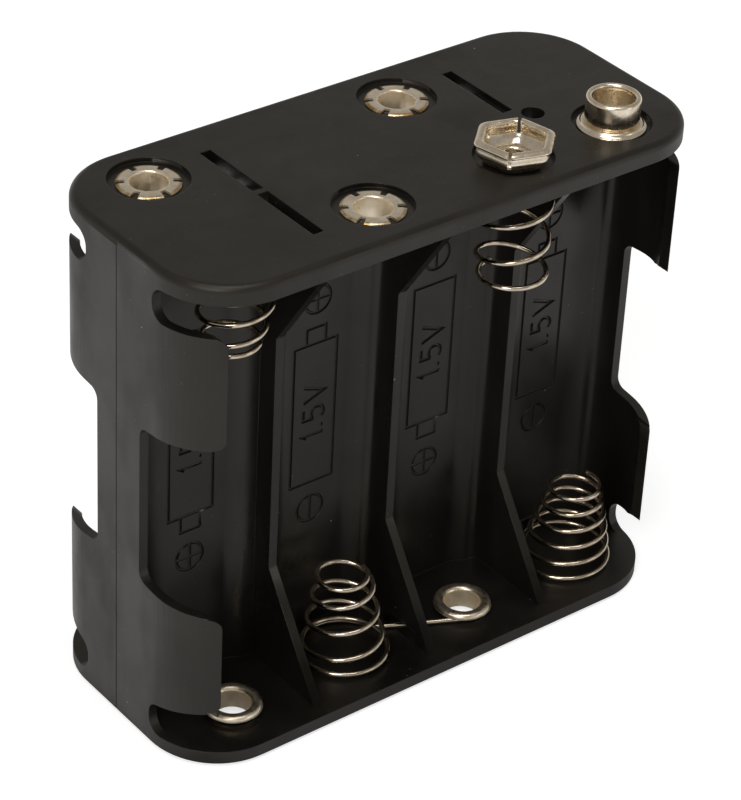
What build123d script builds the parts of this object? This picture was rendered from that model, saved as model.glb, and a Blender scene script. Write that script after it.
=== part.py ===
from build123d import *
import math
import os

# Holder for eight AA cells, four in front of a central web and four behind it, standing on its bottom plate.
# Millimetres. X runs along the width, the front is -Y, Z is up, and the origin is the centre of the foot.

# Overall housing
depth = 28.0
height = 56.0
top_thickness = 2.0
bottom_thickness = 1.6
corner_radius = 8.0
top_edge_radius = 0.8
bottom_edge_break = 0.2

# Cell bays
cell_pitch = 15.0
cells_per_row = 4
end_margin = 1.2
divider_thickness = 1.0
divider_reach = 3.9
gusset_setback = 1.8
gusset_height = 12.4
gusset_knee_radius = 0.5

# Central web, whose face is a hollow between two ledges in each bay
web_floor = 0.6
web_ledge = 1.4
ledge_width = 1.35
floor_half_width = 3.5

# Side walls and their corner arms
wall_thickness = 1.0
long_arm_angle = 57.0
short_arm_angle = 49.0
arm_end_radius = 1.1
arm_root = 3.65
arm_root_radius = 1.2
lower_arm_bottom = 5.1
lower_slot_slope = 0.2
lower_arm_top = 19.2
lower_arm_slope = 0.12
upper_arm_drop = 18.8
upper_arm_slope = 0.09
upper_slot_drop = 5.6
arm_slot_root = 5.5
arm_slot_end_radius = 1.65

# Slots over the tail notches, and the notches in the gussets and in the web. A slot ends near the web.
slot_width = 1.25
slot_inner = 0.3
shallow_slot_inner = -0.6
slot_setback = 4.8
slot_deep = 4.5
shallow_slot_depth = 0.7
notch_height = 1.5
notch_past_slot = 0.6
web_notch_half_length = 2.2
pin_hole_from_divider = 1.95
pin_hole_y = -2.2
pin_hole_radius = 1.2

# Contacts
eyelet_setback = 6.2
spring_setback = 7.2
counterbore_radius = 4.1
counterbore_depth = 0.5
fit_clearance = 0.03
sheet = 0.25

# Contact springs
wire = 0.55
wire_sides = 5
stations_per_turn = 10
base_radius = 4.6
tip_radius = 2.5
free_height = 10.0
coil_turns = 5.5
dead_turns = 0.8
dead_pitch = 0.58
tail_exit_angle = 25.0
tail_bend_radius = 2.6
loop_angle = 290.0
loop_steps = 10
socket_spring_side_gap = 0.325
socket_spring_tip_radius = 2.95
socket_spring_height = 11.3
socket_spring_turns = 4.0
tip_lean = 0.3

# Eyelets and rivets
eyelet_bore = 1.87
rivet_bore = 1.45
flange_radius = 3.1
flange_thickness = 0.55
flange_crown = 0.5
petal_radius = 3.3
petal_count = 6
petal_slit = 0.9
rivet_head_radius = 2.2

# Snaps
snap_pitch = 12.7
socket_base_radius = 2.9
socket_belly = 3.6
socket_belly_height = 1.3
socket_groove = 3.45
socket_groove_height = 1.95
socket_lip = 3.82
socket_mouth = 2.9
socket_height = 2.6
socket_wall = 0.3
socket_turn = 43.0
socket_slit = 0.35
stud_flange_radius = 3.55
stud_ring_radius = 3.05
stud_neck_radius = 2.6
stud_radius = 2.8
stud_height = 3.4
stud_wall = 0.3
stud_mouth_radius = 2.15

# Worked out from the sizes above
width = cells_per_row * cell_pitch + 2 * end_margin
inner_top = height - top_thickness
inner_bottom = bottom_thickness
counterbore_floor = height - counterbore_depth
bay_centres = [(i - (cells_per_row - 1) / 2) * cell_pitch for i in range(cells_per_row)]
divider_places = [(i - cells_per_row / 2 + 1) * cell_pitch for i in range(cells_per_row - 1)]
upper_arm_bottom = height - upper_arm_drop
upper_arm_top = height - upper_slot_drop
gusset_reach = depth / 2 - gusset_setback
slot_outer = depth / 2 - slot_setback
notch_outer = slot_outer + notch_past_slot
eyelet_row = depth / 2 - eyelet_setback
spring_row = depth / 2 - spring_setback
barrel_radius = eyelet_bore + sheet
rivet_barrel_radius = rivet_bore + sheet
loop_corner_share = math.cos(math.radians(loop_angle / loop_steps / 2))
loop_radius = (barrel_radius + fit_clearance + wire / 2) / loop_corner_share
socket_loop_radius = (rivet_barrel_radius + fit_clearance + wire / 2) / loop_corner_share
flange_gap = wire + 2 * fit_clearance
pin_hole_x = divider_places[-1] + pin_hole_from_divider
stud_x = bay_centres[-1]
socket_x = stud_x - snap_pitch
socket_spring_room = divider_places[-1] - divider_thickness / 2 - socket_x
socket_spring_base_radius = socket_spring_room - socket_spring_side_gap - wire / 2

os.makedirs("parts", exist_ok=True)


def block(x0, x1, y0, y1, z0, z1):
    """A box between two corners."""
    middle = ((x0 + x1) / 2, (y0 + y1) / 2, (z0 + z1) / 2)
    return Pos(*middle) * Box(abs(x1 - x0), abs(y1 - y0), abs(z1 - z0))


def polygon(*points):
    """A face with straight sides."""
    return make_face(Polyline(*points, close=True))


def lathe(*points):
    """A turned piece about Z from its half section, given as radius and height."""
    section = make_face(Polyline(*[(r, 0, z) for r, z in points], close=True))
    return revolve(section, Axis.Z)


# Housing

def top_plate():
    plate = Pos(0, 0, inner_top) * extrude(RectangleRounded(width, depth, corner_radius), top_thickness)
    return fillet(plate.faces().sort_by(Axis.Z)[-1].edges(), top_edge_radius)


def bottom_plate():
    plate = extrude(RectangleRounded(width, depth, corner_radius), bottom_thickness)
    return chamfer(plate.faces().sort_by(Axis.Z)[0].edges(), bottom_edge_break)


def bay_hollow(left, right, centre):
    """Plan of the hollow in the web's front face in one bay: a flat floor, and an arc up to each ledge."""
    floor_left = (centre - floor_half_width, -web_floor)
    floor_right = (centre + floor_half_width, -web_floor)
    outline = Line(floor_left, floor_right)
    outline += TangentArc(floor_right, (right, -web_ledge), tangent=(1, 0))
    outline += TangentArc(floor_left, (left, -web_ledge), tangent=(-1, 0))
    behind = -2 * web_ledge
    outline += Polyline((left, -web_ledge), (left, behind), (right, behind), (right, -web_ledge))
    return make_face(outline)


def web():
    """The central wall between the front and the back bays."""
    plan = Rectangle(width - 2 * wall_thickness, 2 * web_ledge)
    reach = divider_thickness / 2 + ledge_width
    edges = [-width / 2 + wall_thickness - divider_thickness / 2] + divider_places
    edges += [width / 2 - wall_thickness + divider_thickness / 2]
    for left, right, centre in zip(edges, edges[1:], bay_centres):
        hollow = bay_hollow(left + reach, right - reach, centre)
        plan -= hollow
        plan -= mirror(hollow, Plane.XZ)
    return Pos(0, 0, inner_bottom) * extrude(plan, inner_top - inner_bottom)


def divider(x):
    """One wall between bays, with a gusset out to each plate at its ends."""
    outline = []
    for side in (1, -1):
        corners = [(gusset_reach, inner_bottom), (divider_reach, inner_bottom + gusset_height),
                   (divider_reach, inner_top - gusset_height), (gusset_reach, inner_top)]
        outline += [(side * y, z) for y, z in corners[::side]]
    face = polygon(*outline)
    knees = face.vertices().filter_by(lambda v: abs(abs(v.X) - divider_reach) < 0.01)
    face = fillet(knees, gusset_knee_radius)
    return Pos(x, 0, 0) * extrude(Plane.YZ * face, divider_thickness / 2, both=True)


def side_outline():
    """A side wall seen along X, with windows between its arms and slots between the arms and the plates."""
    wall = Pos(0, (inner_bottom + inner_top) / 2) * Rectangle(depth, inner_top - inner_bottom)
    reach = depth - arm_root
    for side in (1, -1):
        window = polygon(
            (side * arm_root, lower_arm_top),
            (side * depth, lower_arm_top - lower_arm_slope * reach),
            (side * depth, upper_arm_bottom + upper_arm_slope * reach),
            (side * arm_root, upper_arm_bottom),
        )
        wall -= round_roots(window, arm_root, arm_root_radius)
        lower_rise = lower_slot_slope * (depth - arm_slot_root)
        for low, high, rise in ((inner_bottom, lower_arm_bottom, lower_rise), (upper_arm_top, inner_top, 0)):
            slot = polygon((side * arm_slot_root, low), (side * depth, low),
                           (side * depth, high + rise), (side * arm_slot_root, high))
            wall -= round_roots(slot, arm_slot_root, min(arm_slot_end_radius, 0.47 * (high - low)))
    return wall


def round_roots(face, root, radius):
    """Rounds the two corners of a window or slot that lie nearest the wall's middle."""
    corners = face.vertices().filter_by(lambda v: abs(abs(v.X) - root) < 0.01)
    return fillet(corners, radius)


def arm_end_place(angle):
    """Where an arm that follows its corner through an angle ends, from the middle of the holder."""
    x = width / 2 - corner_radius * (1 - math.cos(math.radians(angle)))
    y = depth / 2 - corner_radius * (1 - math.sin(math.radians(angle)))
    return x, y


def arm_ends(side, angle):
    """One side wall seen along Y: its arms stop at their free edges, whose corners are rounded."""
    end_x, end_y = arm_end_place(angle)
    far = width / 2 + wall_thickness
    start = end_x + arm_end_radius
    middle = (inner_bottom + inner_top) / 2
    profile = Pos((start + far) / 2, middle) * Rectangle(far - start, inner_top - inner_bottom)
    run = end_y - arm_root
    slot_run = end_y - arm_slot_root
    for low, high in ((lower_arm_bottom + lower_slot_slope * slot_run, lower_arm_top - lower_arm_slope * run),
                      (upper_arm_bottom + upper_arm_slope * run, upper_arm_top)):
        end = polygon((end_x, low), (far, low), (far, high), (end_x, high))
        free = end.vertices().filter_by(lambda v: abs(v.X - end_x) < 0.01)
        profile += fillet(free, arm_end_radius)
    return profile if side > 0 else mirror(profile, Plane.YZ)


def side_walls():
    """Both side walls, each with four arms that follow the corners round to the front and the back.

    The arms at the front left and the back right are the long ones.
    """
    ring = RectangleRounded(width, depth, corner_radius)
    ring -= RectangleRounded(width - 2 * wall_thickness, depth - 2 * wall_thickness,
                             corner_radius - wall_thickness)
    shell = Pos(0, 0, inner_bottom) * extrude(ring, inner_top - inner_bottom)
    shell &= extrude(Plane.YZ * side_outline(), width, both=True)
    front = extrude(Plane.XZ * (arm_ends(-1, long_arm_angle) + arm_ends(1, short_arm_angle)), depth)
    return shell & (front + Rot(0, 0, 180) * front)


def plate_slot(x, side, plate_inner, plate_outer, kind):
    """A slot over a divider, with the notch under it that lets a spring's tail through the gusset.

    It is deep over the notch. Nearer the web it is deep too, a ramp, or shallow.
    """
    up = 1 if plate_outer > plate_inner else -1
    notch = plate_inner - up * notch_height
    half = slot_width / 2
    cut = block(x - half, x + half, side * slot_deep, side * slot_outer, notch, plate_outer + up)
    cut += block(x - divider_thickness, x + divider_thickness, side * slot_deep, side * notch_outer,
                 notch, plate_inner)
    if kind == "deep":
        cut += block(x - half, x + half, side * slot_inner, side * slot_deep, plate_inner, plate_outer + up)
    if kind == "shallow":
        floor = plate_outer - up * shallow_slot_depth
        cut += block(x - half, x + half, side * shallow_slot_inner, side * slot_deep, floor, plate_outer + up)
    if kind == "ramp":
        ramp = polygon((side * slot_inner, plate_outer), (side * slot_deep, plate_outer),
                       (side * slot_deep, plate_inner))
        cut += Pos(x, 0, 0) * extrude(Plane.YZ * ramp, half, both=True)
    return cut


def web_slot(x):
    """A slot through the bottom plate and the web's foot, for a tail that runs from back to front."""
    half = web_notch_half_length
    cut = block(x - half, x + half, -slot_width / 2, slot_width / 2, -1, inner_bottom)
    notch_top = inner_bottom + notch_height
    return cut + block(x - half, x + half, -2 * web_ledge, 2 * web_ledge, inner_bottom, notch_top)


def eyelet_seat(x, y, top, hole_radius):
    """The hole for an eyelet's barrel and the counterbore for its outer rim."""
    hole = Cylinder(hole_radius + fit_clearance, 4 * top_thickness)
    rim = Cylinder(counterbore_radius, 2 * counterbore_depth)
    face = height if top else 0
    return Pos(x, y, face) * hole + Pos(x, y, face) * rim


def housing():
    body = top_plate() + bottom_plate() + web() + side_walls()
    for x in divider_places:
        body += divider(x)
    left, middle, right = divider_places
    body -= plate_slot(left, -1, inner_top, height, "deep")
    body -= plate_slot(left, 1, inner_top, height, "ramp")
    body -= plate_slot(right, 1, inner_top, height, "shallow")
    for side in (-1, 1):
        body -= plate_slot(middle, side, inner_bottom, 0, "ramp")
    for x in (bay_centres[0], bay_centres[3]):
        body -= web_slot(x)
    for x, y, top in eyelet_places.values():
        body -= eyelet_seat(x, y, top, barrel_radius)
    for x in (socket_x, stud_x):
        body -= eyelet_seat(x, -eyelet_row, True, rivet_barrel_radius)
    body -= Pos(pin_hole_x, pin_hole_y, height) * Cylinder(pin_hole_radius, 4 * top_thickness)
    return body


# Turned and clinched contacts

def inner_flange(bore, barrel, gap):
    """Half section of an inner flange and barrel below a plate's inner face at height 0."""
    face = -gap - flange_thickness
    return [
        (bore, face + sheet),
        (bore + sheet, face),
        (flange_radius - flange_crown, face),
        (flange_radius, -gap - sheet / 2),
        (flange_radius, -gap),
        (barrel, -gap),
    ]


def eyelet(plate_thickness):
    """A hollow rivet: its flange below the plate, its rim split and clinched into petals above."""
    seat = plate_thickness - counterbore_depth + fit_clearance
    outline = inner_flange(eyelet_bore, barrel_radius, flange_gap)
    outline += [(barrel_radius, seat), (petal_radius, seat), (petal_radius, seat + sheet),
                (eyelet_bore + sheet, seat + sheet), (eyelet_bore, seat)]
    body = lathe(*outline)
    half = petal_slit / 2
    slit = block(barrel_radius + sheet / 2, 2 * petal_radius, -half, half, seat - 1, seat + 1)
    for i in range(petal_count):
        body -= Rot(0, 0, (i + 0.5) * 360 / petal_count) * slit
    return body


def rivet(gap, base):
    """A tubular rivet that holds a snap: its flange below the plate, its rolled head on the snap's base."""
    seat = top_thickness - counterbore_depth + base + fit_clearance
    outline = inner_flange(rivet_bore, rivet_barrel_radius, gap)
    outline += [(rivet_barrel_radius, seat), (rivet_head_radius, seat), (rivet_head_radius, seat + sheet / 2),
                (rivet_barrel_radius, seat + sheet), (rivet_bore, seat)]
    return lathe(*outline)


def placed(piece, x, y, top):
    """Puts a piece made for the top plate in its place at the top, or upside down at the bottom."""
    if top:
        return Pos(x, y, inner_top) * piece
    return Pos(x, y, inner_bottom) * Rot(180, 0, 0) * piece


eyelet_places = {
    "f1_bottom": (bay_centres[0], -eyelet_row, False),
    "f2_top": (bay_centres[1], -eyelet_row, True),
    "f3_bottom": (bay_centres[2], -eyelet_row, False),
    "b1_top": (bay_centres[0], eyelet_row, True),
    "b2_bottom": (bay_centres[1], eyelet_row, False),
    "b3_top": (bay_centres[2], eyelet_row, True),
    "b4_bottom": (bay_centres[3], eyelet_row, False),
}


# Springs

def bent_wire(points):
    """A wire with flat facets along a path of short straight runs."""
    path = Polyline(*points)
    section = Plane(path @ 0, z_dir=path % 0) * RegularPolygon(wire / 2, wire_sides)
    return sweep(section, path=path, transition=Transition.RIGHT)


def coil_points(base, tip, rise, turns, start_angle, lean):
    """A right-handed conical coil about Z, with close turns at both ends."""
    count = round(turns * stations_per_turn)
    low = wire / 2 + fit_clearance
    climb = rise - wire - fit_clearance
    open_turns = turns - 2 * dead_turns
    open_pitch = (climb - 2 * dead_turns * dead_pitch) / open_turns
    points = []
    for i in range(count + 1):
        turn = i / stations_per_turn
        opened = min(max(turn - dead_turns, 0), open_turns)
        z = low + dead_pitch * (turn - opened) + open_pitch * opened
        share = turn / turns
        radius = base + (tip - base) * share
        angle = math.radians(start_angle + 360 * turn)
        points.append((lean * share + radius * math.cos(angle), radius * math.sin(angle), z))
    return points


def arc_points(centre, radius, start, end, steps, z):
    """Points along an arc, without its last one."""
    angles = [math.radians(start + (end - start) * i / steps) for i in range(steps)]
    return [(centre[0] + radius * math.cos(a), centre[1] + radius * math.sin(a), z) for a in angles]


def tailed_spring(target_x, target_y):
    """A spring at the origin whose tail bends away from the coil and loops round an eyelet at the target."""
    z = wire / 2 + fit_clearance
    reach = base_radius + tail_bend_radius
    exit_angle = math.radians(tail_exit_angle)
    bend = (reach * math.cos(exit_angle), reach * math.sin(exit_angle))
    gap_x = target_x - bend[0]
    gap_y = target_y - bend[1]
    distance = math.hypot(gap_x, gap_y)
    heading = math.degrees(math.atan2(gap_y, gap_x) - math.asin((loop_radius - tail_bend_radius) / distance))
    side = heading - 90
    points = arc_points((target_x, target_y), loop_radius, side + loop_angle, side, loop_steps, z)
    points += [(target_x + loop_radius * math.cos(math.radians(side)),
                target_y + loop_radius * math.sin(math.radians(side)), z)]
    points += arc_points(bend, tail_bend_radius, side, tail_exit_angle - 180, 3, z)
    points += coil_points(base_radius, tip_radius, free_height, coil_turns, tail_exit_angle, tip_lean)
    return bent_wire(points)


def socket_spring():
    """The spring under the socket: its first turn closes round the rivet and spirals out to the coil."""
    z = wire / 2 + fit_clearance
    small = socket_loop_radius
    points = arc_points((0, 0), small, -loop_angle - 180, -180, loop_steps, z)
    steps = 5
    for i in range(steps):
        radius = small + (socket_spring_base_radius - small) * i / steps
        points += arc_points((0, 0), radius, -180 + 180 * i / steps, 0, 1, z)
    points += coil_points(socket_spring_base_radius, socket_spring_tip_radius, socket_spring_height,
                          socket_spring_turns, 0, tip_lean)
    return bent_wire(points)


spring_places = {
    "f1_top": (bay_centres[0], -spring_row, True, "f2_top"),
    "f2_bottom": (bay_centres[1], -spring_row, False, "f3_bottom"),
    "f4_bottom": (bay_centres[3], -spring_row, False, "b4_bottom"),
    "b1_bottom": (bay_centres[0], spring_row, False, "f1_bottom"),
    "b2_top": (bay_centres[1], spring_row, True, "b1_top"),
    "b3_bottom": (bay_centres[2], spring_row, False, "b2_bottom"),
    "b4_top": (bay_centres[3], spring_row, True, "b3_top"),
}


def contact_spring(x, y, top, eyelet_name):
    """A spring on its plate, turned so that its tail runs to the eyelet of the next bay."""
    end_x, end_y, _ = eyelet_places[eyelet_name]
    turn = round(math.degrees(math.atan2(end_y - y, end_x - x)) / 90) * 90
    place = Pos(x, y, inner_top) * Rot(0, 0, turn) * Rot(180, 0, 0)
    if not top:
        place = Pos(x, y, inner_bottom) * Rot(0, 0, turn)
    local = (place.inverse() * Pos(end_x, end_y, 0)).position
    return place * tailed_spring(local.X, local.Y)


# Snaps, made on their seat at height 0

def hexagon(apothem, z):
    return Pos(0, 0, z) * RegularPolygon(apothem, 6, major_radius=False)


def socket_snap():
    """A hexagonal cup of sheet metal with a belly, a groove and a wide flat lip, slit at two corners."""
    floor = sheet + fit_clearance
    outer = loft([
        hexagon(socket_base_radius, floor),
        hexagon(socket_belly, socket_belly_height),
        hexagon(socket_groove, socket_groove_height),
        hexagon(socket_lip, socket_groove_height + sheet),
        hexagon(socket_lip - sheet / 2, socket_height),
    ], ruled=True)
    inner = loft([
        hexagon(socket_base_radius - socket_wall, floor),
        hexagon(socket_belly - socket_wall, socket_belly_height),
        hexagon(socket_groove - socket_wall, socket_groove_height),
        hexagon(socket_mouth, socket_height),
    ], ruled=True)
    slit = block(0, 2 * socket_lip, -socket_slit / 2, socket_slit / 2, 2 * sheet, 2 * socket_height)
    cup = outer - inner
    for angle in (0, 180):
        cup -= Rot(0, 0, angle) * slit
    base = extrude(hexagon(socket_base_radius, 0), floor)
    base -= Cylinder(rivet_barrel_radius + fit_clearance, 4 * sheet)
    return Pos(0, 0, fit_clearance) * Rot(0, 0, socket_turn) * (base + cup)


def stud_snap():
    """A round stud of sheet metal: a flange with a raised ring, a neck, and a barrel with a rolled mouth."""
    hole = rivet_barrel_radius + fit_clearance
    floor = sheet
    body = lathe(
        (hole, 0),
        (stud_flange_radius, 0),
        (stud_flange_radius, floor),
        (stud_ring_radius + sheet / 2, floor),
        (stud_ring_radius, 2 * sheet),
        (stud_neck_radius, 2 * sheet),
        (stud_neck_radius, 2.5 * sheet),
        (stud_radius, 3.5 * sheet),
        (stud_radius, stud_height - sheet),
        (stud_radius - sheet, stud_height),
        (stud_mouth_radius + sheet / 2, stud_height),
        (stud_mouth_radius, stud_height - sheet),
        (stud_radius - stud_wall, stud_height - 2 * sheet),
        (stud_radius - stud_wall, 3.5 * sheet),
        (stud_neck_radius - stud_wall, 2.5 * sheet),
        (stud_neck_radius - stud_wall, floor),
        (hole, floor),
    )
    return Pos(0, 0, fit_clearance) * body


# Every piece in its place

pieces = {"housing": housing()}
for name, (x, y, top) in eyelet_places.items():
    pieces["eyelet_" + name] = placed(eyelet(top_thickness if top else bottom_thickness), x, y, top)
for name, place in spring_places.items():
    pieces["spring_" + name] = contact_spring(*place)
pieces["spring_f3_top"] = Pos(socket_x, -eyelet_row, inner_top) * Rot(180, 0, 0) * socket_spring()
pieces["socket_snap"] = Pos(socket_x, -eyelet_row, counterbore_floor) * socket_snap()
pieces["socket_rivet"] = placed(rivet(flange_gap, sheet + fit_clearance), socket_x, -eyelet_row, True)
pieces["stud_snap"] = Pos(stud_x, -eyelet_row, counterbore_floor) * stud_snap()
pieces["stud_rivet"] = placed(rivet(fit_clearance, sheet + fit_clearance), stud_x, -eyelet_row, True)

for name, shape in pieces.items():
    export_step(shape, "parts/" + name + ".step")
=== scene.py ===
import math
import bmesh
import bpy
from mathutils import Matrix, Vector


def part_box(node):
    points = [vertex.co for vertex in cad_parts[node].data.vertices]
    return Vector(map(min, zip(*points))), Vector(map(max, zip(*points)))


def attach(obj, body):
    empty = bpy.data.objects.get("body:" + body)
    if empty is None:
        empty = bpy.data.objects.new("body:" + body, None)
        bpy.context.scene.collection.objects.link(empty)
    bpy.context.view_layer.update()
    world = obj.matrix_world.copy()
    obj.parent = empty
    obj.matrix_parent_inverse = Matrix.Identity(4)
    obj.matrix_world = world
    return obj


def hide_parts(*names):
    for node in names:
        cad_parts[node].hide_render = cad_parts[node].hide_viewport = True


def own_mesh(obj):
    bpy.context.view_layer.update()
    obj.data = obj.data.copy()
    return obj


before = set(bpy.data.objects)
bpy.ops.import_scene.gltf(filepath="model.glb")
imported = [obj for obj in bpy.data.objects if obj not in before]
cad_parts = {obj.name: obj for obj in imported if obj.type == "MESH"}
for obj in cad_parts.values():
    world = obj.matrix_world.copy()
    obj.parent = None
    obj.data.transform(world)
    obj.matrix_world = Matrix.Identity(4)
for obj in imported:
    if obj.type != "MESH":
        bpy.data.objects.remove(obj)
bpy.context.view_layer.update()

MM = 0.001

# Housing, and what several pieces share
housing_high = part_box("housing")[1]
height = housing_high.z
top_thickness = 2.0 * MM
bottom_thickness = 1.6 * MM
inner_top = height - top_thickness
inner_bottom = bottom_thickness
counterbore_depth = 0.5 * MM
cell_pitch = 15.0 * MM
bays_in_a_row = 4
bay_centres = [(i - (bays_in_a_row - 1) / 2) * cell_pitch for i in range(bays_in_a_row)]
web_face = 0.6 * MM
spring_row = 6.8 * MM
fit_clearance = 0.03 * MM
sheet = 0.25 * MM
edge_softness = 0.12 * MM
weld_distance = 0.002 * MM
touching = 0.0001 * MM
flat_angle = 0.4
housing_sharp_angle = 25.0
metal_sharp_angle = 38.0

# Wire and springs
wire = 0.55 * MM
wire_sides = 14
stations_per_turn = 44
close_pitch = 0.58 * MM
pitch_blend = 0.12
tail_exit_angle = 25.0
tail_bend_radius = 2.6 * MM
loop_angle = 290.0
loop_steps = 60
bend_steps = 24
run_steps = 12
spiral_steps = 30


class Coil:
    """A conical coil, its sizes given in millimetres and turns.

    It has close turns at its base and at its tip. Its free end leans aside in x and y, and the lean rate
    says how early in the coil that lean is reached.
    """

    def __init__(self, rise=10.0, turns=5.5, base=4.6, tip=2.5, close_base=0.8, close_tip=0.8,
                 lean=(0.3, 0.0), lean_rate=1.0):
        self.rise = rise * MM
        self.turns = turns
        self.base = base * MM
        self.tip = tip * MM
        self.close_base = close_base
        self.close_tip = close_tip
        self.lean = Vector((*lean, 0)) * MM
        self.lean_rate = lean_rate


coils = {
    "f1_top": Coil(rise=8.7, turns=4.5, lean=(-0.7, -0.2)),
    "f2_bottom": Coil(rise=10.2, turns=4.92, base=5.0, close_base=1.2, close_tip=0.8, lean=(-0.1, 0.6)),
    "f3_top": Coil(rise=11.3, turns=3.75, base=4.2, tip=3.3, close_base=0.6, close_tip=0.7,
                   lean=(0.1, -0.9), lean_rate=1.2),
    "f4_bottom": Coil(turns=5.75, base=5.0, close_base=0.5, close_tip=0.5, lean=(0.6, -0.5)),
}

# Springs with tails: centre, whether it hangs from the top plate, and the eyelet that the tail loops round
spring_routes = {
    "f1_top": (bay_centres[0], -spring_row, True, "f2_top"),
    "f2_bottom": (bay_centres[1], -spring_row, False, "f3_bottom"),
    "f4_bottom": (bay_centres[3], -spring_row, False, "b4_bottom"),
    "b1_bottom": (bay_centres[0], spring_row, False, "f1_bottom"),
    "b2_top": (bay_centres[1], spring_row, True, "b1_top"),
    "b3_bottom": (bay_centres[2], spring_row, False, "b2_bottom"),
    "b4_top": (bay_centres[3], spring_row, True, "b3_top"),
}

# Eyelets and rivets
eyelet_bore = 1.87 * MM
rivet_bore = 1.45 * MM
flange_radius = 3.1 * MM
flange_thickness = 0.55 * MM
flange_crown = flange_thickness * 0.9
rivet_head_radius = 2.2 * MM
mouth_bend = sheet * 0.95
round_steps = 6
barrel_radius = eyelet_bore + sheet
rivet_barrel_radius = rivet_bore + sheet
flange_gap = wire + 2 * fit_clearance
loop_radius = barrel_radius + fit_clearance + wire / 2
socket_loop_radius = rivet_barrel_radius + fit_clearance + wire / 2

# Petals, and a petal's face from its root, as shares of its outward spread and of the sheet's thickness
petal_radius = 3.3 * MM
petal_count = 6
petal_gap = 0.68 * MM
petal_arch = ((0.0, -0.3), (0.08, 0.0), (0.2, 0.08), (0.4, 0.12), (0.8, 0.02), (0.96, -0.08), (1.0, 0.02),
              (0.99, 0.28), (0.92, 0.58), (0.8, 0.82), (0.62, 0.97), (0.45, 1.0), (0.2, 1.0))
petal_root_points = 2
petal_end_points = (5, 9)

# Hexagonal socket
socket_base_radius = 2.9 * MM
socket_foot_bend = 0.2 * MM
socket_belly = 3.6 * MM
socket_belly_height = 1.4 * MM
socket_groove = 3.45 * MM
socket_groove_height = 1.9 * MM
socket_lip = 3.82 * MM
socket_mouth = 2.9 * MM
socket_height = 2.6 * MM
socket_wall = 0.3 * MM
socket_corner = 1.1 * MM
socket_corner_share = 0.5
socket_turn = 43.0
socket_slit = 0.35 * MM
socket_whole_points = 3
socket_columns = 144
half_side_angle = 30.0

# Round stud
stud_flange_radius = 3.55 * MM
stud_flange_bend = 0.1 * MM
stud_flange_edge = 0.12 * MM
stud_flange_top = 0.3 * MM
stud_bead = 0.22 * MM
stud_bead_radius = 2.93 * MM
stud_bead_height = 0.38 * MM
stud_bead_foot = 3.27 * MM
stud_neck_radius = 2.6 * MM
stud_neck_height = 0.6 * MM
stud_radius = 2.8 * MM
stud_shoulder = 0.95 * MM
stud_height = 3.4 * MM
stud_wall = 0.3 * MM
stud_mouth_radius = 2.15 * MM
stud_roll_depth = 1.2
stud_foot_bend = 0.15 * MM

# Moulded marks on the web, given in millimetres about a bay's centre line for a cell with its nub up
mark_line = 0.17
mark_sink = 0.05
mark_shift = 0.5
mark_body_half = 2.65
mark_body_low = 19.9
mark_body_high = 36.7
mark_nub_half = 1.175
mark_nub_high = 38.6
mark_plus_height = 41.9
mark_minus_height = 16.6
mark_middle = 29.25
mark_sign_radius = 1.6
mark_circle_steps = 28
letter_height = 2.55
letter_run = 6.3
letter_rise = 0.3
letter_line = 0.21
rod_sides = 8
mitre_limit = 0.35

# Parting lines down the side walls, in millimetres
parting_line = 0.09
parting_y = 0.3

# Colours, as linear red, green and blue
plastic_dark = (0.0050, 0.0045, 0.0039)
plastic_pale = (0.0085, 0.0077, 0.0066)
plastic_gloss = (1.0, 0.93, 0.85, 1)
dust_colour = (0.36, 0.33, 0.29)
tarnish_colour = (0.42, 0.27, 0.09)
floor_colour = (0.60, 0.62, 0.65, 1)

# Dust on the plastic: cells a metre, a speck's reach in its cell, share of bare cells, how much it covers
dust_layers = ((420, 0.045, 0.7, 0.8), (900, 0.06, 0.6, 0.4), (1500, 0.07, 0.5, 0.25))

# Floor: its glow to the camera, and how much of it metal reflects, less near the object where a shadow is
# painted into that reflected glow
floor_half_side = 3.0
floor_drop = 0.2 * MM
floor_glow = 0.68
floor_near_share = 0.05
floor_far_share = 0.62
floor_painted_shadow_centre = (0.012, -0.030, 0.0)
floor_painted_shadow_near = 0.015
floor_painted_shadow_far = 0.072

# The sky's colours, by height from 0 at the horizon to 1 overhead
sky_stops = ((0.10, (0.62, 0.60, 0.57, 1)), (0.48, (0.30, 0.285, 0.265, 1)))

# Lamps: the point that they face, and their light
lit_point = (0, 0, 0.03)
warm_white = (1.0, 0.97, 0.93)
key_white = (1.0, 0.96, 0.91)

# Camera, fitted to the photograph
camera_place = Vector((-0.17165, -0.20964, 0.20675))
camera_aim = Vector((0.00766, 0.00958, 0.01845))
camera_roll = math.radians(3.06)
camera_lens = 142.80
camera_sensor = 36


# Node materials

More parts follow.
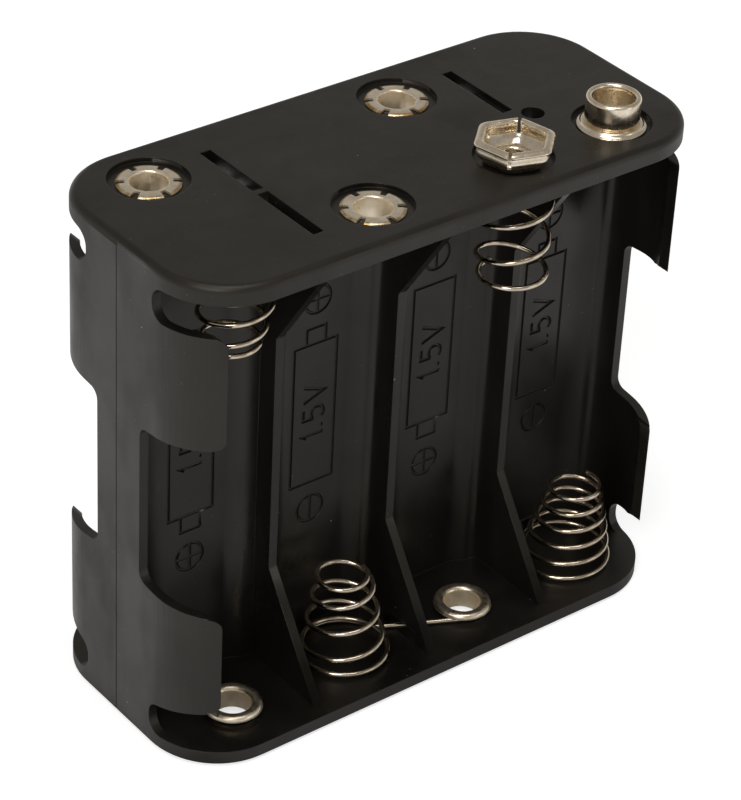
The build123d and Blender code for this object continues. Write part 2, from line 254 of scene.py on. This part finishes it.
class Nodes:
    """A material's node tree with short ways to add and join nodes."""

    def __init__(self, name):
        self.material = bpy.data.materials.new(name)
        self.material.use_nodes = True
        self.tree = self.material.node_tree
        self.shader = self.tree.nodes["Principled BSDF"]
        self.place = self.add("ShaderNodeTexCoord").outputs["Object"]

    def add(self, kind, **values):
        node = self.tree.nodes.new(kind)
        for key, value in values.items():
            setattr(node, key, value)
        return node

    def join(self, source, target):
        self.tree.links.new(source, target)

    def combine(self, operation, first, second=None):
        """A Math node on one or two values, of which the second may be a number."""
        node = self.add("ShaderNodeMath", operation=operation)
        self.join(first, node.inputs[0])
        if isinstance(second, float):
            node.inputs[1].default_value = second
        elif second is not None:
            self.join(second, node.inputs[1])
        return node.outputs[0]

    def noise(self, scale, detail, stretch=None):
        """Noise by the object's own coordinates, its scale in waves a metre."""
        node = self.add("ShaderNodeTexNoise")
        node.inputs["Scale"].default_value = scale
        node.inputs["Detail"].default_value = detail
        place = self.place
        if stretch:
            mapping = self.add("ShaderNodeMapping")
            mapping.inputs["Scale"].default_value = stretch
            self.join(place, mapping.inputs["Vector"])
            place = mapping.outputs["Vector"]
        self.join(place, node.inputs["Vector"])
        return node.outputs["Fac"]

    def spread(self, value, before, after):
        """Carries a value from the range before to the range after, held to its ends."""
        node = self.add("ShaderNodeMapRange")
        for key, number in zip(("From Min", "From Max", "To Min", "To Max"), (*before, *after)):
            node.inputs[key].default_value = number
        self.join(value, node.inputs["Value"])
        return node.outputs["Result"]

    def mix(self, share, first, second):
        """A colour between two, each a colour or a socket."""
        node = self.add("ShaderNodeMix", data_type="RGBA")
        self.join(share, node.inputs["Factor"])
        for key, colour in (("A", first), ("B", second)):
            socket = [s for s in node.inputs if s.name == key and s.type == "RGBA"][0]
            if isinstance(colour, tuple):
                socket.default_value = (*colour, 1)
            else:
                self.join(colour, socket)
        return [s for s in node.outputs if s.type == "RGBA"][0]

    def specks(self, scale, size, rare):
        """Small round dots, one in some of the cells of a grid."""
        node = self.add("ShaderNodeTexVoronoi")
        node.inputs["Scale"].default_value = scale
        self.join(self.place, node.inputs["Vector"])
        near = self.spread(node.outputs["Distance"], (size / 2, size), (1, 0))
        lottery = self.add("ShaderNodeSeparateColor")
        self.join(node.outputs["Color"], lottery.inputs["Color"])
        return self.combine("MULTIPLY", near, self.combine("GREATER_THAN", lottery.outputs["Red"], rare))

    def parts(self, vector):
        """The x, y and z of a vector, as the outputs of one node."""
        node = self.add("ShaderNodeSeparateXYZ")
        self.join(vector, node.inputs[0])
        return node.outputs

    def bump(self, height_value, strength, distance, under=None):
        node = self.add("ShaderNodeBump")
        node.inputs["Strength"].default_value = strength
        node.inputs["Distance"].default_value = distance
        self.join(height_value, node.inputs["Height"])
        if under:
            self.join(under, node.inputs["Normal"])
        return node.outputs["Normal"]


def black_plastic():
    """Satin black moulding with flow lines, smears, a fine grain, softened edges and dust."""
    n = Nodes("black_plastic")
    patches = n.spread(n.noise(130, 4), (0.35, 0.65), (0, 1))
    colour = n.mix(patches, plastic_dark, plastic_pale)
    for scale, size, rare, share in dust_layers:
        dust = n.spread(n.specks(scale, size, rare), (0, 1), (0, share))
        colour = n.mix(dust, colour, dust_colour)
    n.join(colour, n.shader.inputs["Base Color"])
    flow = n.noise(60, 3, (1.0, 1.6, 0.4))
    smears = n.noise(260, 5, (1.0, 1.0, 0.6))
    rough_flow = n.spread(flow, (0.35, 0.65), (0.22, 0.44))
    rough_smears = n.spread(smears, (0.4, 0.7), (0.0, 0.14))
    n.join(n.combine("ADD", rough_flow, rough_smears), n.shader.inputs["Roughness"])
    edges = n.add("ShaderNodeBevel", samples=4)
    edges.inputs["Radius"].default_value = edge_softness
    fine_grain = n.noise(5200, 2)
    coarse_grain = n.noise(1300, 3)
    normal = n.bump(fine_grain, 0.12, 0.04 * MM, edges.outputs["Normal"])
    normal = n.bump(flow, 0.35, 0.3 * MM, normal)
    normal = n.bump(coarse_grain, 0.10, 0.04 * MM, normal)
    n.join(normal, n.shader.inputs["Normal"])
    n.shader.inputs["IOR"].default_value = 1.5
    n.shader.inputs["Specular Tint"].default_value = plastic_gloss
    return n.material


def metal(name, bright, dull, stain, smooth, rough, dull_sides=False):
    """Plated metal with dull patches and brown stains, browner where a mesh has the attribute tarnish.

    With dull_sides its upright walls are rougher than its level faces.
    """
    n = Nodes(name)
    patches = n.spread(n.noise(700, 4), (0.35, 0.7), (0, 1))
    spots = n.spread(n.noise(1900, 5), (0.60, 0.80), (0, 0.6))
    plating = n.mix(spots, n.mix(patches, bright, dull), stain)
    asked = n.add("ShaderNodeAttribute", attribute_name="tarnish").outputs["Fac"]
    blotches = n.spread(n.noise(1200, 3), (0.35, 0.6), (0.25, 1.0))
    tarnish = n.combine("MULTIPLY", asked, blotches)
    n.join(n.mix(tarnish, plating, tarnish_colour), n.shader.inputs["Base Color"])
    n.shader.inputs["Metallic"].default_value = 1.0
    roughness = n.spread(n.noise(1500, 3), (0.3, 0.7), (smooth, rough))
    if dull_sides:
        facing = n.parts(n.add("ShaderNodeTexCoord").outputs["Normal"])
        upright = n.spread(n.combine("ABSOLUTE", facing["Z"]), (0.05, 0.35), (0.22, 0.0))
        roughness = n.combine("ADD", roughness, upright)
    n.join(roughness, n.shader.inputs["Roughness"])
    fine_grain = n.noise(9000, 2)
    waviness = n.noise(900, 2)
    normal = n.bump(fine_grain, 0.08, 0.02 * MM)
    normal = n.bump(waviness, 0.08, 0.05 * MM, normal)
    n.join(normal, n.shader.inputs["Normal"])
    return n.material


plastic = black_plastic()
nickel = metal("nickel_plate", bright=(0.90, 0.81, 0.67), dull=(0.76, 0.66, 0.50),
               stain=(0.45, 0.31, 0.15), smooth=0.15, rough=0.30)
# The eyelets' plating is the nickel made paler and rougher; the paler colour is partly painted light,
# standing for strong light on the eyelets
eyelet_plate_painted_light = metal("eyelet_plate_painted_light", bright=(0.95, 0.86, 0.71), dull=(0.82, 0.71, 0.54),
                     stain=(0.50, 0.34, 0.16), smooth=0.24, rough=0.42, dull_sides=True)
bright_wire = metal("spring_wire", bright=(0.72, 0.64, 0.53), dull=(0.50, 0.42, 0.31),
                    stain=(0.30, 0.20, 0.11), smooth=0.10, rough=0.18)


# Meshes

def new_object(name, data):
    """An object in the scene around a mesh, a lamp or a camera."""
    made = bpy.data.objects.new(name, data)
    bpy.context.scene.collection.objects.link(made)
    return made


def new_piece(name, verts, faces, material, slot, body, stained=None):
    """A metal piece of the scene. Stained gives each vertex a share of brown tarnish."""
    mesh = bpy.data.meshes.new(name)
    mesh.from_pydata(verts, [], faces)
    if stained:
        mesh.attributes.new("tarnish", "FLOAT", "POINT").data.foreach_set("value", stained)
    mesh.validate()
    mesh.materials.append(material)
    mesh.shade_smooth()
    mesh.set_sharp_from_angle(angle=math.radians(metal_sharp_angle))
    piece = new_object(name, mesh)
    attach(piece, body)
    return piece


def arc(centre, radius, start, end, steps):
    """Points on an arc in a plane, both ends among them, with angles in degrees."""
    angles = [math.radians(start + (end - start) * i / steps) for i in range(steps + 1)]
    return [(centre[0] + radius * math.cos(a), centre[1] + radius * math.sin(a)) for a in angles]


def profile(*runs):
    """A section's points. Each run has a radius, a level and its points' steps from them in millimetres."""
    return [(radius + out * MM, level + up * MM) for radius, level, steps in runs for out, up in steps]


def tube(points, radius, sides, bevel=0.2):
    """Round wire along a smooth row of points, with its two cut ends bevelled."""
    points = [Vector(p) for p in points]
    heading = (points[1] - points[0]).normalized()
    side = heading.orthogonal().normalized()
    verts, faces, rings = [], [], []

    def ring(centre, r):
        rings.append(len(verts))
        for i in range(sides):
            a = 2 * math.pi * i / sides
            verts.append(centre + r * (side * math.cos(a) + heading.cross(side) * math.sin(a)))

    ring(points[0], radius * (1 - bevel))
    for i, point in enumerate(points):
        before = points[max(i - 1, 0)]
        after = points[min(i + 1, len(points) - 1)]
        turned_heading = (after - before).normalized()
        side = (heading.rotation_difference(turned_heading) @ side).normalized()
        heading = turned_heading
        inset = radius * bevel * ((i == 0) - (i == len(points) - 1))
        ring(point + heading * inset, radius)
    ring(points[-1], radius * (1 - bevel))
    for low, high in zip(rings, rings[1:]):
        for i in range(sides):
            j = (i + 1) % sides
            faces.append((low + i, low + j, high + j, high + i))
    faces.append([rings[0] + i for i in reversed(range(sides))])
    faces.append([rings[-1] + i for i in range(sides)])
    return verts, faces


def turned(section, columns=96, slits=(), cut=(0, 0), reach=None):
    """Turns a closed section of radii and heights about Z, anticlockwise with the radius to the right.

    Each slit is a pair of angles, between which the section's points from cut[0] to cut[1] are bridged.
    Reach gives the real distance for a radius and an angle, where the piece isn't round.
    """
    reach = reach or (lambda r, angle: r)
    angles = {round(360 * i / columns, 6): False for i in range(columns)}
    for start, end in slits:
        angles = {a: s for a, s in angles.items() if not start < a < end}
        angles[start % 360] = True
        angles[end % 360] = False
    order = sorted(angles)
    verts, faces = [], []
    for a in order:
        turn = math.radians(a)
        for r, z in section:
            far = reach(r, a)
            verts.append((far * math.cos(turn), far * math.sin(turn), z))
    count = len(section)
    first, last = cut
    for i, a in enumerate(order):
        here = i * count
        there = (i + 1) % len(order) * count
        for k in range(count):
            m = (k + 1) % count
            if not (angles[a] and first <= k < last):
                faces.append((here + k, here + m, there + m, there + k)[::-1])
        if angles[a]:
            faces.append((here + first, here + last, there + last, there + first)[::-1])
            faces.append([here + k for k in range(first, last + 1)][::-1])
            faces.append([there + k for k in range(first, last + 1)])
    return verts, faces


def placed(mesh, matrix):
    verts, faces = mesh
    return [tuple(matrix @ Vector(v)) for v in verts], faces


def centre_of(node):
    low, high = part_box(node)
    return (low + high) / 2


def plate_place(x, y, top):
    """Moves a piece from its own frame, the plate's inner face at height 0, to the top or bottom plate."""
    if top:
        return Matrix.Translation((x, y, inner_top))
    return Matrix.Translation((x, y, inner_bottom)) @ Matrix.Rotation(math.pi, 4, "X")


# Springs

def coil_height(turn, coil):
    """Height of the wire's centre after so many turns: close turns at both ends and open ones between."""
    climb = coil.rise - wire - fit_clearance
    open_turns = coil.turns - coil.close_base - coil.close_tip
    open_pitch = (climb - (coil.turns - open_turns) * close_pitch) / open_turns
    total = 0
    samples = (-1.0, -0.5, 0.0, 0.5, 1.0)
    for sample in samples:
        t = turn + sample * pitch_blend
        opened = min(max(t - coil.close_base, 0), open_turns)
        total += close_pitch * (t - opened) + open_pitch * opened
    return wire / 2 + fit_clearance + total / len(samples)


def coil_points(coil, start_angle, place):
    count = round(coil.turns * stations_per_turn)
    lean = place.to_3x3().inverted() @ coil.lean
    points = []
    for i in range(count + 1):
        turn = i * coil.turns / count
        share = turn / coil.turns
        radius = coil.base + (coil.tip - coil.base) * share
        angle = math.radians(start_angle + 360 * turn)
        off = lean * min(share * coil.lean_rate, 1)
        x = off.x + radius * math.cos(angle)
        y = off.y + radius * math.sin(angle)
        points.append((x, y, coil_height(turn, coil)))
    return points


def tail_points(target_x, target_y, base):
    """The loop round an eyelet at the target, the run to the coil and the bend into it."""
    z = wire / 2 + fit_clearance
    reach = base + tail_bend_radius
    exit_angle = math.radians(tail_exit_angle)
    bend = (reach * math.cos(exit_angle), reach * math.sin(exit_angle))
    gap_x = target_x - bend[0]
    gap_y = target_y - bend[1]
    turn_in = math.asin((loop_radius - tail_bend_radius) / math.hypot(gap_x, gap_y))
    heading = math.degrees(math.atan2(gap_y, gap_x) - turn_in)
    flat = arc((target_x, target_y), loop_radius, heading - 90 + loop_angle, heading - 90, loop_steps)
    start = flat[-1]
    into = arc(bend, tail_bend_radius, heading - 90, tail_exit_angle - 180, bend_steps)
    for i in range(1, run_steps):
        flat.append(tuple(start[k] + (into[0][k] - start[k]) * i / run_steps for k in range(2)))
    flat += into
    return [(x, y, z) for x, y in flat]


def spring_pieces(name, coil_run, tail_run, place):
    """A coil that rides the spring's own body, and a tail that stays put."""
    node = "spring_" + name
    piece = new_piece(node + "_coil", *placed(tube(coil_run, wire / 2, wire_sides), place), bright_wire,
                      "spring_wire", node)
    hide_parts(node)
    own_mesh(piece)
    new_piece(node + "_tail", *placed(tube(tail_run, wire / 2, wire_sides), place), bright_wire,
              "spring_wire", "holder")


def contact_spring(name, x, y, top, eyelet_name):
    """A spring in its bay, turned so that its tail leaves towards its eyelet."""
    target = centre_of("eyelet_" + eyelet_name)
    turn = round(math.atan2(target.y - y, target.x - x) / (math.pi / 2)) * math.pi / 2
    place = Matrix.Translation((x, y, inner_top if top else inner_bottom)) @ Matrix.Rotation(turn, 4, "Z")
    if top:
        place = place @ Matrix.Rotation(math.pi, 4, "X")
    local = place.inverted() @ Vector((target.x, target.y, 0))
    coil = coils.get(name, Coil())
    points = coil_points(coil, tail_exit_angle, place)
    spring_pieces(name, points, tail_points(local.x, local.y, coil.base), place)


def socket_spring():
    """The spring at the socket's rivet: a loop round the rivet, half a turn outwards and the coil."""
    centre = centre_of("socket_rivet")
    place = Matrix.Translation((centre.x, centre.y, inner_top)) @ Matrix.Rotation(math.pi, 4, "X")
    coil = coils["f3_top"]
    z = wire / 2 + fit_clearance
    tail = [(x, y, z) for x, y in arc((0, 0), socket_loop_radius, -loop_angle - 180, -180, loop_steps)]
    for i in range(1, spiral_steps + 1):
        radius = socket_loop_radius + (coil.base - socket_loop_radius) * i / spiral_steps
        angle = math.radians(-180 + 180 * i / spiral_steps)
        tail.append((radius * math.cos(angle), radius * math.sin(angle), z))
    spring_pieces("f3_top", coil_points(coil, 0, place), tail, place)


# Eyelets and rivets, seen from above the plate's inner face at height 0

def inner_flange(bore, barrel, gap):
    """The crowned flange under the plate, from the bore round to the barrel's outside."""
    face = -gap - flange_thickness
    outer = arc((flange_radius - flange_crown, face + flange_crown), flange_crown, -90, 0, round_steps)
    inner = arc((bore + flange_crown, face + flange_crown), flange_crown, 180, 270, round_steps)
    return inner + outer + [(flange_radius, -gap), (barrel, -gap)]


def eyelet(name):
    """A hollow eyelet, its far end split into petals that arch down onto the counterbore's floor."""
    node = "eyelet_" + name
    top = name.endswith("_top")
    thickness = top_thickness if top else bottom_thickness
    seat = thickness - counterbore_depth + fit_clearance
    section = inner_flange(eyelet_bore, barrel_radius, flange_gap)
    root = len(section)
    spread = petal_radius - barrel_radius
    section += [(barrel_radius + spread * r, seat + sheet * z) for r, z in petal_arch]
    cut = (root + petal_root_points, len(section) - 1)
    section += arc((eyelet_bore + mouth_bend, seat + sheet - mouth_bend), mouth_bend, 90, 180, round_steps)
    half = math.degrees(petal_gap / 2 / (barrel_radius + spread / 2))
    middles = [(i + 0.5) * 360 / petal_count for i in range(petal_count)]
    slits = [(m - half, m + half) for m in middles]
    centre = centre_of(node)
    mesh = placed(turned(section, slits=slits, cut=cut), plate_place(centre.x, centre.y, top))
    end_first, end_last = petal_end_points
    ends = [float(end_first <= k - root <= end_last) for k in range(len(section))]
    stained = ends * (len(mesh[0]) // len(section))
    piece = new_piece(node + "_clinched", *mesh, eyelet_plate_painted_light, "nickel_plate", "holder", stained)
    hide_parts("eyelet_" + name)


def rivet(node, gap, base):
    """A tubular rivet with an inner flange, its far end rolled over a base of the given thickness."""
    seat = top_thickness - counterbore_depth + base + fit_clearance
    section = inner_flange(rivet_bore, rivet_barrel_radius, gap)
    section += [(rivet_barrel_radius, seat), (rivet_head_radius, seat)]
    section += arc((rivet_bore + sheet, seat), sheet, 60, 180, round_steps)
    centre = centre_of(node)
    mesh = placed(turned(section), plate_place(centre.x, centre.y, True))
    piece = new_piece(node + "_rolled", *mesh, nickel, "nickel_plate", "holder")
    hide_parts(node)


# Snaps, on their seat at height 0

def snap_place(node):
    centre = centre_of(node)
    return Matrix.Translation((centre.x, centre.y, height - counterbore_depth + fit_clearance))


def hexagon_reach(flat, angle):
    """How far the socket's hexagon reaches at an angle, corners rounded, by the distance to its flats."""
    off = abs((angle + half_side_angle) % (2 * half_side_angle) - half_side_angle)
    round_radius = min(socket_corner, flat * socket_corner_share)
    inner = flat - round_radius
    tangent = math.degrees(math.atan2(inner * math.tan(math.radians(half_side_angle)), flat))
    if off <= tangent:
        return flat / math.cos(math.radians(off))
    away = math.radians(half_side_angle - off)
    arm = inner / math.cos(math.radians(half_side_angle))
    return arm * math.cos(away) + math.sqrt(round_radius ** 2 - (arm * math.sin(away)) ** 2)


def socket_snap():
    """A cup of thin sheet with a belly, a groove over it and a wide domed lip, slit at two corners."""
    hole = rivet_barrel_radius + fit_clearance
    base_inside = socket_base_radius - socket_wall
    belly_inside = socket_belly - socket_wall
    groove_inside = socket_groove - socket_wall
    section = [(hole, sheet), (hole, 0), (socket_base_radius - socket_foot_bend, 0)]
    first = len(section) + socket_whole_points
    section += profile(
        (socket_base_radius, 0, ((0, 0.15), (0.08, 0.38), (0.32, 0.62), (0.55, 0.92))),
        (socket_belly, socket_belly_height, ((-0.02, -0.2), (0, 0), (-0.05, 0.22))),
        (socket_groove, socket_groove_height, ((0, -0.06), (0, 0.05), (0.1, 0.12))),
        (socket_lip, socket_height, ((-0.1, -0.51), (-0.02, -0.43), (0, -0.34), (-0.05, -0.23),
                                     (-0.15, -0.14), (-0.3, -0.06), (-0.45, -0.015), (-0.57, 0))),
        (socket_mouth, socket_height, ((0.22, -0.02), (0.1, -0.08), (0.02, -0.17), (0.01, -0.3))),
        (groove_inside, socket_groove_height, ((0, 0.18), (-0.06, 0), (0.02, -0.16))),
        (belly_inside, socket_belly_height, ((0, 0.1), (0, -0.1), (-0.15, -0.45), (-0.42, -0.78))),
        (base_inside, 0, ((0, 0.42),)))
    last = len(section) - socket_whole_points
    section += [(base_inside - socket_foot_bend, sheet)]
    half = math.degrees(socket_slit / 2 / socket_belly)
    slits = [(m - half, m + half) for m in (half_side_angle, half_side_angle + 180)]
    place = snap_place("socket_snap") @ Matrix.Rotation(math.radians(socket_turn - half_side_angle), 4, "Z")
    mesh = placed(turned(section, socket_columns, slits, (first, last), hexagon_reach), place)
    piece = new_piece("socket_snap_folded", *mesh, nickel, "nickel_plate", "holder")
    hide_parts("socket_snap")


def stud_snap():
    """A drawn stud: its flange, the bead round its foot, a neck and the head with a rolled mouth."""
    hole = rivet_barrel_radius + fit_clearance
    roll = stud_radius - stud_mouth_radius
    edge = stud_flange_edge
    head_inside = stud_radius - stud_wall
    neck_inside = stud_neck_radius - stud_wall
    section = [(hole, sheet), (hole, 0), (stud_flange_radius - stud_flange_bend, 0)]
    section += arc((stud_flange_radius - edge, edge), edge, -60, 90, 5)
    section += [(stud_bead_foot, stud_flange_top)]
    section += arc((stud_bead_radius, stud_bead_height), stud_bead, 10, 170, 7)
    section += profile((stud_neck_radius, stud_neck_height, ((0.03, -0.18), (0, -0.1), (0, 0))),
                       (stud_radius, stud_shoulder, ((-0.06, -0.15), (0, 0))))
    section += [(stud_radius, stud_height - roll / 2)]
    section += arc((stud_radius - roll / 2, stud_height - roll / 2), roll / 2, 10, 200, 10)
    section += [(head_inside, stud_height - roll * stud_roll_depth), (head_inside, stud_shoulder)]
    section += profile((neck_inside, stud_neck_height, ((0, 0), (0, -0.2))))
    section += [(neck_inside - stud_foot_bend, sheet)]
    mesh = placed(turned(section), snap_place("stud_snap"))
    piece = new_piece("stud_snap_drawn", *mesh, nickel, "nickel_plate", "holder")
    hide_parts("stud_snap")


# Housing with its moulded marks

def letter_strokes():
    """The strokes of 1.5V, along the reading direction and up the letters, in millimetres."""
    h = letter_height
    bowl = 0.78
    five = 2.2
    five_top = [(five + 1.3, h), (five + 0.05, h), (five, h * 0.56)]
    five_bowl = arc((five + 0.6, bowl), bowl, 125, -135, 14)
    return [
        [(0.0, h * 0.80), (0.3, h), (0.3, 0.0)],
        [(1.15, 0.05), (1.15, 0.25)],
        five_top + five_bowl,
        [(letter_run - 1.9, h), (letter_run - 0.95, 0.0), (letter_run, h)],
    ]


def bay_marks(nub_up):
    """The lines of one bay's marks and those of its letters, across and up the bay in millimetres."""
    b = mark_body_half
    n = mark_nub_half
    r = mark_sign_radius
    flip = (lambda z: z) if nub_up else (lambda z: 2 * mark_middle - z)
    low, high, nub = flip(mark_body_low), flip(mark_body_high), flip(mark_nub_high)
    plus, minus = flip(mark_plus_height), flip(mark_minus_height)
    body_outline = [(-b, low), (b, low), (b, high), (-b, high), (-b, low)]
    nub_outline = [(-n, high), (-n, nub), (n, nub), (n, high)]
    lines = [body_outline, nub_outline]
    lines += [arc((0, z), r, 0, 360, mark_circle_steps) for z in (plus, minus)]
    lines += [[(-r, plus), (r, plus)], [(0, plus - r), (0, plus + r)], [(0, minus - r), (0, minus + r)]]
    start = (low + high) / 2 + letter_rise - letter_run / 2
    letters = [[(letter_height / 2 - up, start + along) for along, up in stroke]
               for stroke in letter_strokes()]
    return lines, letters


def rod(points, radius):
    """A round rod along straight runs, mitred at its corners."""
    closed = (Vector(points[0]) - Vector(points[-1])).length < touching
    points = [Vector(p) for p in (points[:-1] if closed else points)]
    count = len(points)
    verts, faces = [], []
    out = Vector((0, 1, 0))
    for i, point in enumerate(points):
        before = points[i - 1] if closed or i > 0 else point
        after = points[(i + 1) % count] if closed or i < count - 1 else point
        ways = [w.normalized() for w in (point - before, after - point) if w.length > touching]
        heading = sum(ways, Vector()).normalized()
        across = heading.cross(out).normalized()
        stretch = 1 / max(heading.dot(ways[0]), mitre_limit)
        for k in range(rod_sides):
            a = 2 * math.pi * (k + 0.5) / rod_sides
            verts.append(point + across * (radius * math.cos(a) * stretch) + out * (radius * math.sin(a)))
    for i in range(count if closed else count - 1):
        low, high = i * rod_sides, (i + 1) % count * rod_sides
        for k in range(rod_sides):
            j = (k + 1) % rod_sides
            faces.append((low + k, high + k, high + j, low + j))
    if not closed:
        faces.append(list(range(rod_sides)))
        faces.append([(count - 1) * rod_sides + k for k in reversed(range(rod_sides))])
    return verts, faces


def mark_rods():
    """Rods for the marks, half sunk in the web's two faces, and for the parting lines of the side walls."""
    rods = []
    for side in (-1, 1):
        face = side * (web_face - mark_sink * MM)
        for i, bay_centre in enumerate(bay_centres):
            nub_up = (i % 2 == 1) if side < 0 else (i % 2 == 0)
            middle = bay_centre + side * mark_shift * MM
            for lines, thickness in zip(bay_marks(nub_up), (mark_line, letter_line)):
                for line in lines:
                    points = [(middle - side * u * MM, face, v * MM) for u, v in line]
                    rods.append(rod(points, thickness * MM))
    for x in (-housing_high.x, housing_high.x):
        points = [(x, parting_y * MM, -MM), (x, parting_y * MM, height + MM)]
        rods.append(rod(points, parting_line * MM))
    return rods


def joined(meshes):
    """Several meshes as one."""
    verts, faces = [], []
    for more_verts, more_faces in meshes:
        start = len(verts)
        verts += more_verts
        faces += [[start + k for k in face] for face in more_faces]
    return verts, faces


def merge_flat_faces(mesh, weld=False):
    """Joins a mesh's faces that lie in one plane. With weld, the points that meet are joined first."""
    shape = bmesh.new()
    shape.from_mesh(mesh)
    if weld:
        bmesh.ops.remove_doubles(shape, verts=shape.verts, dist=weld_distance)
    bmesh.ops.dissolve_limit(shape, angle_limit=math.radians(flat_angle), verts=shape.verts,
                             edges=shape.edges, delimit={"NORMAL"})
    shape.to_mesh(mesh)
    shape.free()


def sink_marks(piece):
    """Cuts the marks out of a piece, and gives back its new mesh."""
    verts, faces = joined(mark_rods())
    cutter_mesh = bpy.data.meshes.new("marks")
    cutter_mesh.from_pydata(verts, [], faces)
    cutter = new_object("marks", cutter_mesh)
    sink = piece.modifiers.new("marks", "BOOLEAN")
    sink.operation = "DIFFERENCE"
    sink.solver = "EXACT"
    sink.use_self = True
    sink.object = cutter
    finished = bpy.data.meshes.new_from_object(piece.evaluated_get(bpy.context.evaluated_depsgraph_get()))
    piece.modifiers.clear()
    piece.data = finished
    bpy.data.objects.remove(cutter)
    return finished


def moulded_housing():
    """The housing's own mesh, welded, with the marks sunk into the web."""
    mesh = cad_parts["housing"].data.copy()
    merge_flat_faces(mesh, weld=True)
    piece = new_object("housing_moulded", mesh)
    finished = sink_marks(piece)
    finished.name = "housing_moulded"
    finished.materials.clear()
    finished.materials.append(plastic)
    merge_flat_faces(finished)
    finished.shade_smooth()
    finished.set_sharp_from_angle(angle=math.radians(housing_sharp_angle))
    weigh = piece.modifiers.new("even_normals", "WEIGHTED_NORMAL")
    weigh.keep_sharp = True
    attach(piece, "holder")
    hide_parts("housing")


# Floor, light and camera

def floor_glow_nodes(n):
    """The floor's glow: even to the camera; to reflections, a painted shadow makes it dimmer near the
    object and nil under it; none to other rays.
    """
    path = n.add("ShaderNodeLightPath").outputs
    seen = path["Is Camera Ray"]
    for kind in ("Is Glossy Ray", "Is Transmission Ray"):
        seen = n.combine("MAXIMUM", seen, path[kind])
    # Painted shadow: the glow that reflections see fades towards a point in front of the object
    away = n.add("ShaderNodeVectorMath", operation="DISTANCE")
    n.join(n.place, away.inputs[0])
    away.inputs[1].default_value = floor_painted_shadow_centre
    shares = (floor_glow * floor_near_share, floor_glow * floor_far_share)
    glow_with_painted_shadow = n.spread(away.outputs["Value"], (floor_painted_shadow_near, floor_painted_shadow_far), shares)
    # Painted shadow under the housing: reflections see no glow within its footprint
    spot = n.parts(n.place)
    beyond = [n.spread(n.combine("ABSOLUTE", spot[axis]), (edge - MM, edge + MM), (0, 1))
              for axis, edge in (("X", housing_high.x), ("Y", housing_high.y))]
    glow_with_painted_shadow = n.combine("MULTIPLY", glow_with_painted_shadow, n.combine("MAXIMUM", *beyond))
    glow = n.add("ShaderNodeMix", data_type="FLOAT")
    n.join(path["Is Camera Ray"], glow.inputs["Factor"])
    n.join(glow_with_painted_shadow, glow.inputs["A"])
    glow.inputs["B"].default_value = floor_glow
    return n.combine("MULTIPLY", seen, glow.outputs["Result"])


def floor():
    """A pale floor that keeps the object's shadow."""
    s = floor_half_side
    mesh = bpy.data.meshes.new("floor")
    mesh.from_pydata([(-s, -s, 0), (s, -s, 0), (s, s, 0), (-s, s, 0)], [], [(0, 1, 2, 3)])
    obj = new_object("floor", mesh)
    obj.location.z = -floor_drop
    n = Nodes("pale_floor")
    n.shader.inputs["Base Color"].default_value = floor_colour
    n.shader.inputs["Roughness"].default_value = 0.9
    n.shader.inputs["Specular IOR Level"].default_value = 0.1
    n.shader.inputs["Emission Color"].default_value = (1, 1, 1, 1)
    n.join(floor_glow_nodes(n), n.shader.inputs["Emission Strength"])
    mesh.materials.append(n.material)


def lamp(name, place, size, power, colour):
    """A soft rectangular lamp that faces the object."""
    light = bpy.data.lights.new(name, "AREA")
    light.shape = "RECTANGLE"
    light.size, light.size_y = size
    light.energy = power
    light.color = colour
    obj = new_object(name, light)
    obj.location = place
    obj.rotation_euler = (Vector(lit_point) - Vector(place)).to_track_quat("-Z", "Y").to_euler()


def sky():
    """A pale room whose ceiling is darker than its walls."""
    world = bpy.data.worlds.new("studio")
    bpy.context.scene.world = world
    world.use_nodes = True
    tree = world.node_tree
    place = tree.nodes.new("ShaderNodeTexCoord")
    parts = tree.nodes.new("ShaderNodeSeparateXYZ")
    ramp = tree.nodes.new("ShaderNodeValToRGB")
    tree.links.new(place.outputs["Generated"], parts.inputs[0])
    tree.links.new(parts.outputs["Z"], ramp.inputs["Fac"])
    tree.links.new(ramp.outputs["Color"], tree.nodes["Background"].inputs["Color"])
    for stop, (level, colour) in zip(ramp.color_ramp.elements, sky_stops):
        stop.position = level
        stop.color = colour


def camera():
    data = bpy.data.cameras.new("camera")
    data.sensor_width = camera_sensor
    data.lens = camera_lens
    data.clip_start = 0.01
    data.clip_end = 20
    obj = new_object("camera", data)
    turn = (camera_aim - camera_place).to_track_quat("-Z", "Y").to_matrix().to_4x4()
    obj.matrix_world = Matrix.Translation(camera_place) @ turn @ Matrix.Rotation(camera_roll, 4, "Z")
    bpy.context.scene.camera = obj


moulded_housing()
for route_name, route in spring_routes.items():
    contact_spring(route_name, *route)
socket_spring()
for route in spring_routes.values():
    eyelet(route[3])
rivet("socket_rivet", flange_gap, sheet + fit_clearance)
rivet("stud_rivet", fit_clearance, sheet + fit_clearance)
socket_snap()
stud_snap()

floor()
lamp("key", place=(-0.60, -0.40, 0.70), size=(0.35, 0.35), power=2.8, colour=key_white)
lamp("top", place=(-0.05, -0.10, 0.90), size=(0.45, 0.35), power=1.8, colour=warm_white)
lamp("fill", place=(0.45, -0.85, 0.40), size=(0.4, 0.3), power=0.4, colour=warm_white)
sky()
camera()
bpy.context.scene.view_settings.view_transform = "Standard"
